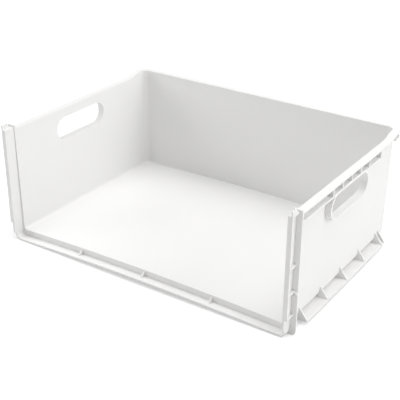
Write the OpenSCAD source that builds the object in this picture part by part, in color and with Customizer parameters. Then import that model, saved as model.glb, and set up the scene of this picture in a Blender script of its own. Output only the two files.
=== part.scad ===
// Freezer drawer body: one moulded tub, open at the front, with a screw-on front's flange,
// a dipped rim with hand holes, and slide rails under both sides. Millimetres.

/* [Tub] */
// Inside width of the floor
floor_width = 420; // [340:5:520]
// Inside depth of the floor, from the front plate's face to the back wall
floor_depth = 284; // [220:4:400]
// Height of the side rims above the edge of the floor
side_height = 151; // [125:1:220]
// How much higher the back rim stands than the side rims
back_rise = 6; // [2:0.5:14]
// Thickness of the walls and the floor
wall = 2.4; // [1.8:0.1:3.2]
// Draft of the walls, in degrees
draft = 0.6; // [0.2:0.1:1.5]
// Radius between the floor and the walls
floor_radius = 5; // [3:0.5:7]
// Radius of the upright rear corners at the floor
corner_radius = 8; // [7:0.5:24]
// Rise of the floor at the middle of its width
crown = 4.2; // [1:0.2:7]

/* [Rim] */
// Reach of the rim and its lower ledge from the inside of the wall
rim_reach = 10.4; // [7:0.2:14]
// Thickness of the rim and of its lower ledge
rim_thickness = 2.4; // [1.8:0.1:3.2]
// Clear height between the rim and the ledge under it
rim_gap = 9.2; // [7:0.2:14]
// Clear height between the back rim and the ledge under it
back_gap = 6.2; // [4:0.2:12]
// Length of the sweep in which the rim rises to the back
rim_sweep = 32; // [16:1:60]
// Distance from the end of that sweep to the back wall
rim_shoulder = 6; // [0:1:20]
// Thickness of the cross ribs in the rim
rib_thickness = 2; // [1.4:0.1:3]
// Distance from the front plate to the last cross rib of the side ledge
side_ledge_length = 222; // [214:1:226]
// Distance from the last rib of the side ledge to the rib where the back ledge starts
ledge_break = 45; // [20:1:60]

/* [Hand holes] */
// Length of a hand hole
hole_length = 102; // [80:1:110]
// Height of a hand hole
hole_height = 32.6; // [26:0.2:40]
// Distance from the front plate to the middle of a hand hole
hole_place = 132; // [125:1:140]
// Thickness of the collar round a hand hole
collar_thickness = 3.2; // [2:0.1:5]
// Number of rim ribs over a hand hole
hole_ribs = 5; // [3:1:7]

/* [Front flange] */
// Depth of the flange in front of the plate
flange_depth = 16; // [10:0.5:24]
// Thickness of the plate, webs, lips and sill
flange_wall = 2.4; // [1.8:0.1:3.2]
// Step from the inside of the tub to the inside of the webs
web_step = 3.2; // [2.6:0.1:6]
// Width of the front lip, web included
lip_width = 6; // [5:0.2:9]
// How far the plate reaches out past the front lip
plate_margin = 4; // [2:0.2:8]
// Height of the plate above the side rims
plate_rise = 4.7; // [3:0.1:9]
// Drop from the edge of the floor to the sill
sill_drop = 9; // [7:0.2:14]
// How far the sill stands back from the front lips
sill_setback = 4; // [1:0.2:8]
// Drop of the lower edge of the plate below the edge of the floor
plate_drop = 12; // [11.6:0.2:18]
// Height of the foot of the front lips above the edge of the floor
lip_foot = 16; // [8:0.5:30]
// Radius of the lower corners of the plate
plate_radius = 6; // [3:0.5:9]
// Inside radius where the webs turn into the sill
sill_radius = 5; // [3:0.5:7]
// Height of the middle rib's top above the edge of the floor
middle_rib = 86; // [70:1:110]
// Height of the rib over the screw boss
boss_rib = 50.4; // [40:0.4:60]
// Height of the stop that stands on the top rib
stop_height = 6.2; // [3:0.2:10]
// Length of that stop, front to back
stop_length = 10; // [5:0.5:12]

/* [Screw bosses] */
// Diameter of a screw hole
screw_bore = 3.4; // [2.5:0.1:4.2]
// Diameter of a screw boss
boss_width = 7.2; // [6:0.2:9]
// How far a boss stands out of the plate
boss_height = 2; // [1:0.2:5]
// Drop from the boss rib's underside to the middle of the hole
boss_drop = 1.6; // [1:0.1:4]

/* [Sill gussets] */
// Number of equal bays along the sill
sill_bays = 4; // [2:1:8]
// Reach of a sill gusset in front of the plate
sill_gusset_reach = 8; // [4:0.5:11]
// Drop from the floor to the top of a sill gusset
sill_gusset_drop = 1.6; // [0.8:0.1:4]

/* [Slide rails] */
// Overall width across the two slide rails
rail_width = 449.4; // [444:0.2:470]
// Drop from the edge of the floor to the underside of a rail
rail_drop = 7.2; // [6:0.2:11]
// Thickness of a rail and of the skirt that carries it
rail_thickness = 2.3; // [1.8:0.1:3]
// Distance from the front plate to the front end of a rail
rail_start = 26.5; // [20:0.5:60]
// Distance between the gussets on a rail
gusset_pitch = 56; // [30:1:60]
// Number of evenly spaced gussets on a rail
gusset_count = 5; // [3:1:6]
// Distance from the last of those to the gusset at the rail's rear end
tail_length = 8.5; // [6:0.5:11]
// Height of a gusset's tip above the edge of the floor
gusset_height = 11.6; // [7:0.2:20]
// Thickness of a gusset
gusset_thickness = 2.2; // [1.6:0.1:3]

/* [Hidden] */
$fn = 64;
lean = tan(draft);
back_height = side_height + back_rise;
plate_face = flange_depth;
back_face = plate_face + floor_depth;
overall_depth = back_face + back_height * lean + rim_reach / cos(draft);
web_face = floor_width / 2 + web_step;
lip_edge = web_face + lip_width;
plate_edge = lip_edge + plate_margin;
plate_top = side_height + plate_rise;
top_rib = plate_top - flange_wall;
ledge_top = side_height - rim_thickness - rim_gap;
back_ledge_top = back_height - rim_thickness - back_gap;
sweep_end = back_face - rim_shoulder;
sweep_start = sweep_end - rim_sweep;
last_rib = plate_face + side_ledge_length;
back_ledge_start = last_rib + ledge_break;
hole_middle = plate_face + hole_place;
hole_level = ledge_top - collar_thickness / 2 - hole_height / 2 - collar_thickness / 2 + rim_thickness / 2;
boss_x = (web_face + flange_wall + plate_edge) / 2;
boss_z = boss_rib - rib_thickness - boss_drop;
floor_half = floor_width / 2 - floor_radius;
past = 20;
arc_steps = 8;
crown_steps = 24;
sweep_steps = 10;

// Points along an arc, from one angle to another
function arc_points(centre, radius, from, to, steps) =
    [for (i = [0:steps]) let (a = from + (to - from) * i / steps) centre + radius * [cos(a), sin(a)]];

// Height of the crowned floor above its edge
function crown_at(x) = crown * (1 - pow(x / floor_half, 2));

// The crown's curve from left to right, at a given level
function crown_points(level) =
    [for (i = [0:crown_steps]) let (x = floor_half * (2 * i / crown_steps - 1)) [x, level + crown_at(x)]];

// Height of the rim's top at a place along the side
function rim_top(y) =
    let (u = min(1, max(0, (y - sweep_start) / rim_sweep))) side_height + back_rise * (1 - cos(180 * u)) / 2;

// Outline of one drafted wall: a centre strip out to the wall's face, with a rounded foot
module wall_outline(reach, grow, top) {
    radius = floor_radius + grow;
    face = reach + grow / cos(draft);
    foot = [face - grow * lean + radius * (1 - sin(draft)) * lean - radius * cos(draft), radius - grow];
    polygon(concat(
        [[0, top], [0, -grow]],
        arc_points(foot, radius, -90, -draft, arc_steps),
        [[face + top * lean, top]]
    ));
}

// The drafted tub grown outwards by a distance, open towards the front
module tub_volume(grow, top) {
    inset = floor_width / 2 - corner_radius;
    for (side = [0, 1]) mirror([side, 0, 0]) {
        translate([0, back_face - corner_radius, 0]) rotate([90, 0, 0])
            linear_extrude(back_face - corner_radius + past) wall_outline(floor_width / 2, grow, top);
        translate([inset, back_face - corner_radius, 0])
            rotate_extrude() wall_outline(corner_radius, grow, top);
    }
    translate([-inset, back_face - corner_radius, 0]) rotate([90, 0, 90])
        linear_extrude(2 * inset) wall_outline(corner_radius, grow, top);
}

// What the floor's crown fills, or with a lower level, what it clears from below
module crown_block(level, from) {
    depth = overall_depth + past - from;
    translate([0, from + depth, 0]) rotate([90, 0, 0]) linear_extrude(depth)
        polygon(concat([[floor_half, -past], [-floor_half, -past]], crown_points(level)));
}

// A slice right across the part, drawn in the side view
module side_slice() {
    translate([-rail_width, 0, 0]) rotate([90, 0, 90]) linear_extrude(2 * rail_width) children();
}

// Side view of everything lower than the rim, less a depth
module below_rim(depth, from) {
    side_slice() polygon(concat(
        [[from, -past]],
        [[from, rim_top(from) - depth]],
        [for (i = [0:sweep_steps]) let (y = sweep_start + rim_sweep * i / sweep_steps) [y, rim_top(y) - depth]],
        [[overall_depth + past, back_height - depth], [overall_depth + past, -past]]
    ));
}

// Floor and walls
module shell() {
    intersection() {
        tub_volume(wall, back_height + past);
        below_rim(0, plate_face);
    }
}

// Outward rim that dips along the sides
module rim() {
    intersection() {
        tub_volume(rim_reach, back_height + past);
        difference() {
            below_rim(0, plate_face);
            below_rim(rim_thickness, plate_face - past);
        }
    }
}

// Ledges under the rim, with the cross ribs between them
module rim_ledges() {
    intersection() {
        tub_volume(rim_reach, back_height + past);
        union() {
            translate([-rail_width / 2, plate_face, ledge_top - rim_thickness])
                cube([rail_width, last_rib - plate_face, rim_thickness]);
            translate([-rail_width / 2, back_ledge_start, back_ledge_top - rim_thickness])
                cube([rail_width, overall_depth, rim_thickness]);
        }
    }
    intersection() {
        tub_volume(rim_reach, back_height + past);
        below_rim(rim_thickness / 2, plate_face);
        union() {
            for (i = [0:hole_ribs - 1])
                rim_rib(hole_middle + hole_length * (i / (hole_ribs - 1) - 0.5), ledge_top - rim_thickness / 2);
            rim_rib(last_rib - rib_thickness / 2, ledge_top - rim_thickness / 2);
            rim_rib(back_ledge_start + rib_thickness / 2, back_ledge_top - rim_thickness / 2);
        }
    }
}

// One cross rib across the rim of both sides
module rim_rib(place, level) {
    for (side = [-1, 1])
        translate([side * rail_width / 2 - rim_reach * 2, place - rib_thickness / 2, level])
            cube([rim_reach * 4, rib_thickness, back_height]);
}

// Side view of a hand hole, grown by a distance
module hole_outline(grow) {
    radius = hole_height / 2;
    for (end = [-1, 1])
        translate([hole_middle + end * (hole_length / 2 - radius), hole_level]) circle(radius + grow);
    translate([hole_middle, hole_level]) square([hole_length - 2 * radius, 2 * (radius + grow)], center = true);
}

// Collars round the hand holes, out to the edge of the rim
module collars() {
    intersection() {
        tub_volume(rim_reach, back_height + past);
        side_slice() hole_outline(collar_thickness);
    }
}

// Plate all round the open front
module front_plate() {
    corner = plate_edge - plate_radius;
    right = concat(
        arc_points([corner, plate_radius - plate_drop], plate_radius, -90, 0, arc_steps),
        [[plate_edge, plate_top]]
    );
    left = [for (i = [len(right) - 1:-1:0]) [-right[i][0], right[i][1]]];
    translate([0, plate_face + flange_wall, 0]) rotate([90, 0, 0]) linear_extrude(flange_wall)
        polygon(concat(right, left, crown_points(-plate_drop)));
}

// Outline of the webs and the sill, grown by a distance
module web_outline(grow, top) {
    radius = sill_radius + grow;
    face = web_face + grow;
    right = concat(
        arc_points([face - radius, radius - sill_drop - grow], radius, -90, 0, arc_steps),
        [[face, top]]
    );
    left = [for (i = [len(right) - 1:-1:0]) [-right[i][0], right[i][1]]];
    polygon(concat(right, left, crown_points(-sill_drop - grow)));
}

// Webs up both sides of the opening, joined by the sill under it
module webs() {
    difference() {
        translate([0, plate_face, 0]) rotate([90, 0, 0]) linear_extrude(flange_depth) difference() {
            web_outline(flange_wall, top_rib);
            web_outline(0, top_rib + past);
        }
        side_slice() polygon(concat(
            [[-past, -past], [sill_setback, -past]],
            [for (i = [0:arc_steps]) let (a = 90 * i / arc_steps)
                [sill_setback * cos(a), (sill_drop - flange_wall) * (sin(a) - 1)]],
            [[-past, 0]]
        ));
    }
}

// Front lips with the ribs and stops behind them
module lips() {
    rib_base = web_face + flange_wall / 2;
    for (side = [0, 1]) mirror([side, 0, 0]) {
        translate([web_face, 0, lip_foot]) cube([lip_width, flange_wall, top_rib - lip_foot]);
        for (level = [top_rib, middle_rib, boss_rib, lip_foot + rib_thickness])
            translate([rib_base, flange_wall / 2, level - rib_thickness])
                cube([lip_edge - rib_base, flange_depth - flange_wall / 2, rib_thickness]);
        translate([lip_edge - rib_thickness, 0, top_rib - rib_thickness / 2])
            cube([rib_thickness, stop_length, stop_height + rib_thickness / 2]);
    }
}

// Screw bosses in the channels between lips and plate
module bosses() {
    for (side = [-1, 1])
        translate([side * boss_x, plate_face + flange_wall / 2, boss_z]) rotate([90, 0, 0])
            cylinder(h = boss_height + flange_wall / 2, d = boss_width);
}

// Screw holes through bosses and plate
module screw_holes() {
    for (side = [-1, 1])
        translate([side * boss_x, plate_face + flange_wall + 1, boss_z]) rotate([90, 0, 0])
            cylinder(h = boss_height + flange_wall + 2, d = screw_bore);
}

// Small gussets between plate and sill
module sill_gussets() {
    for (i = [1:sill_bays - 1]) {
        x = floor_width * (i / sill_bays - 0.5);
        base = crown_at(x) - sill_drop - flange_wall / 2;
        tip = crown_at(x) - sill_gusset_drop;
        foot = crown_at(x) - sill_drop;
        translate([x - rib_thickness / 2, 0, 0]) rotate([90, 0, 90]) linear_extrude(rib_thickness) polygon([
            [plate_face + flange_wall / 2, base],
            [plate_face - sill_gusset_reach, base],
            [plate_face - sill_gusset_reach, foot],
            [plate_face, tip],
            [plate_face + flange_wall / 2, tip]
        ]);
    }
}

// Slide rails under the side walls, with the gussets that brace them
module rails() {
    skirt = floor_half + rail_thickness;
    front = plate_face + rail_start;
    length = gusset_pitch * (gusset_count - 1) + tail_length + gusset_thickness;
    places = concat([for (i = [0:gusset_count - 1]) gusset_pitch * i], [length - gusset_thickness]);
    for (side = [0, 1]) mirror([side, 0, 0]) translate([0, front, 0]) {
        translate([floor_half, 0, -rail_drop]) cube([rail_width / 2 - floor_half, length, rail_thickness]);
        translate([floor_half, 0, -rail_drop]) cube([rail_thickness, length, rail_drop]);
        for (place = places)
            translate([0, place + gusset_thickness, 0]) rotate([90, 0, 0]) linear_extrude(gusset_thickness) polygon([
                [skirt - rail_thickness / 2, rail_thickness / 2 - rail_drop],
                [rail_width / 2, rail_thickness / 2 - rail_drop],
                [rail_width / 2, rail_thickness - rail_drop],
                [floor_width / 2 + wall, gusset_height],
                [skirt - rail_thickness / 2, gusset_height]
            ]);
    }
}

module drawer_tub() {
    color("whitesmoke") translate([0, -overall_depth / 2, plate_drop]) difference() {
        union() {
            shell();
            rim();
            rim_ledges();
            collars();
            front_plate();
            webs();
            lips();
            bosses();
            sill_gussets();
            rails();
        }
        difference() {
            tub_volume(0, back_height + 2 * past);
            crown_block(0, -2 * past);
        }
        crown_block(-wall, plate_face + flange_wall);
        side_slice() hole_outline(0);
        screw_holes();
    }
}

drawer_tub();
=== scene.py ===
import bpy
from math import cos, radians, sin
from mathutils import Matrix, Vector


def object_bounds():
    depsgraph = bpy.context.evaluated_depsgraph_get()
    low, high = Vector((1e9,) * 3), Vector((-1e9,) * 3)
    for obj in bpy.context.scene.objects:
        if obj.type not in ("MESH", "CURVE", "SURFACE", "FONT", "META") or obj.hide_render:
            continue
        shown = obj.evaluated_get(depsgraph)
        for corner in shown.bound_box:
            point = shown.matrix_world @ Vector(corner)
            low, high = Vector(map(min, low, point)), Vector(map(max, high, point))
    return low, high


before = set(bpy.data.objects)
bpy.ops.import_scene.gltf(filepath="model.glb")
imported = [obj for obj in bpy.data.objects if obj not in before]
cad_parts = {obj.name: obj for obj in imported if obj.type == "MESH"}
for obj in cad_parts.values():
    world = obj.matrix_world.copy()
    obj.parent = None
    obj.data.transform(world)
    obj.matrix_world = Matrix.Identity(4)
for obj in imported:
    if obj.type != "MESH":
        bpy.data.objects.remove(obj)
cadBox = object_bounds()
print("frame loaded")


# the tub's white moulded polystyrene
tubPlastic = {
    "name": "whitePolystyrene",
    "color": (0.86, 0.858, 0.85, 1.0),
    "roughness": 0.42,
    "specular": 0.42,
    "peelSize": 900.0,        # fine orange peel of the mould's surface
    "peelDepth": 0.00002,
    "flowSize": 6.0,          # broad drift of the gloss where the melt ran
    "flowSpread": 0.05,
}


def makeTubPlastic():
    material = bpy.data.materials.new(tubPlastic["name"])
    material.use_nodes = True
    nodes, links = material.node_tree.nodes, material.node_tree.links
    shader = nodes["Principled BSDF"]
    shader.inputs["Base Color"].default_value = tubPlastic["color"]
    shader.inputs["Specular IOR Level"].default_value = tubPlastic["specular"]
    place = nodes.new("ShaderNodeTexCoord")
    flow = nodes.new("ShaderNodeTexNoise")
    flow.inputs["Scale"].default_value = tubPlastic["flowSize"]
    links.new(place.outputs["Object"], flow.inputs["Vector"])
    gloss = nodes.new("ShaderNodeMapRange")
    gloss.inputs["To Min"].default_value = tubPlastic["roughness"] - tubPlastic["flowSpread"]
    gloss.inputs["To Max"].default_value = tubPlastic["roughness"] + tubPlastic["flowSpread"]
    links.new(flow.outputs["Fac"], gloss.inputs["Value"])
    links.new(gloss.outputs["Result"], shader.inputs["Roughness"])
    peel = nodes.new("ShaderNodeTexNoise")
    peel.inputs["Scale"].default_value = tubPlastic["peelSize"]
    links.new(place.outputs["Object"], peel.inputs["Vector"])
    bump = nodes.new("ShaderNodeBump")
    bump.inputs["Distance"].default_value = tubPlastic["peelDepth"]
    links.new(peel.outputs["Fac"], bump.inputs["Height"])
    links.new(bump.outputs["Normal"], shader.inputs["Normal"])
    return material


tub = bpy.data.objects["drawer_tub"]
plastic = makeTubPlastic()
tub.data.materials.clear()
tub.data.materials.append(plastic)
print("tub dressed")


# floor: pale to the camera, with the drawer's shadow kept
studioFloor = {"size": 12.0, "color": (0.8, 0.8, 0.8, 1.0), "glow": 0.35}


def makeFloor():
    bpy.ops.object.select_all(action="DESELECT")
    bpy.ops.mesh.primitive_plane_add(size=studioFloor["size"], location=(0, 0, cadBox[0][2]))
    floor = bpy.context.active_object
    floor.name = "studioFloor"
    material = bpy.data.materials.new("paleFloor")
    material.use_nodes = True
    nodes, links = material.node_tree.nodes, material.node_tree.links
    nodes.clear()
    paint = nodes.new("ShaderNodeBsdfDiffuse")
    paint.inputs["Color"].default_value = studioFloor["color"]
    glow = nodes.new("ShaderNodeEmission")
    rays = nodes.new("ShaderNodeLightPath")
    level = nodes.new("ShaderNodeMath")
    level.operation = "MULTIPLY"
    level.inputs[1].default_value = studioFloor["glow"]
    both = nodes.new("ShaderNodeAddShader")
    out = nodes.new("ShaderNodeOutputMaterial")
    links.new(rays.outputs["Is Camera Ray"], level.inputs[0])
    links.new(level.outputs[0], glow.inputs["Strength"])
    links.new(paint.outputs[0], both.inputs[0])
    links.new(glow.outputs[0], both.inputs[1])
    links.new(both.outputs[0], out.inputs["Surface"])
    floor.data.materials.append(material)


makeFloor()

# soft studio light
studioWorld = {"strength": 0.35}
lampSettings = [
    {"name": "topSoftbox", "place": (0.2, 0.3, 2.2), "size": 2.0, "power": 36.0},
    {"name": "rightSoftbox", "place": (2.2, 0.4, 1.0), "size": 1.6, "power": 24.0},
    {"name": "leftSoftbox", "place": (-1.8, -1.2, 1.0), "size": 1.2, "power": 14.0},
]


def makeLamps():
    aim = Vector((0, 0, 0.05))
    for lamp in lampSettings:
        light = bpy.data.lights.new(lamp["name"], "AREA")
        light.shape = "SQUARE"
        light.size = lamp["size"]
        light.energy = lamp["power"]
        piece = bpy.data.objects.new(lamp["name"], light)
        piece.location = lamp["place"]
        piece.rotation_euler = (aim - piece.location).to_track_quat("-Z", "Y").to_euler()
        bpy.context.scene.collection.objects.link(piece)


def makeWorld():
    world = bpy.data.worlds.new("studioWorld")
    world.use_nodes = True
    nodes, links = world.node_tree.nodes, world.node_tree.links
    ambient = nodes["Background"]
    ambient.inputs["Strength"].default_value = studioWorld["strength"]
    ambient.inputs["Color"].default_value = (1, 1, 1, 1)
    backdrop = nodes.new("ShaderNodeBackground")
    backdrop.inputs["Color"].default_value = (1, 1, 1, 1)
    rays = nodes.new("ShaderNodeLightPath")
    choose = nodes.new("ShaderNodeMixShader")
    links.new(rays.outputs["Is Camera Ray"], choose.inputs["Fac"])
    links.new(ambient.outputs[0], choose.inputs[1])
    links.new(backdrop.outputs[0], choose.inputs[2])
    links.new(choose.outputs[0], nodes["World Output"].inputs["Surface"])
    bpy.context.scene.world = world


makeLamps()
makeWorld()
bpy.context.scene.view_settings.view_transform = "Standard"
print("studio lit")

# camera at the photograph's viewing angle
cameraView = {
    "azimuth": 31.38,
    "elevation": 26.88,
    "roll": 1.42,
    "distance": 1.4871,
    "target": (-0.0819, 0.2131, -0.0597),
    "focal": 883.79,          # in pixels of the photograph
    "centre": (233.77, 204.29),
    "picture": 400.0,
    "sensor": 36.0,
}


def makeCamera():
    view = cameraView
    turn, lift, roll = radians(view["azimuth"]), radians(view["elevation"]), radians(view["roll"])
    away = Vector((sin(turn) * cos(lift), -cos(turn) * cos(lift), sin(lift)))
    right = Vector((cos(turn), sin(turn), 0.0))
    up = right.cross(-away)
    sideways = right * cos(roll) + up * sin(roll)
    upright = up * cos(roll) - right * sin(roll)
    place = Vector(view["target"]) + away * view["distance"]
    camera = bpy.data.cameras.new("photoCamera")
    camera.sensor_width = view["sensor"]
    camera.lens = view["focal"] / view["picture"] * view["sensor"]
    camera.shift_x = 0.5 - view["centre"][0] / view["picture"]
    camera.shift_y = view["centre"][1] / view["picture"] - 0.5
    camera.clip_end = 30.0
    piece = bpy.data.objects.new("photoCamera", camera)
    turned = Matrix((sideways, upright, away)).transposed().to_4x4()
    piece.matrix_world = Matrix.Translation(place) @ turned
    bpy.context.scene.collection.objects.link(piece)
    bpy.context.scene.camera = piece


makeCamera()
print("camera set")
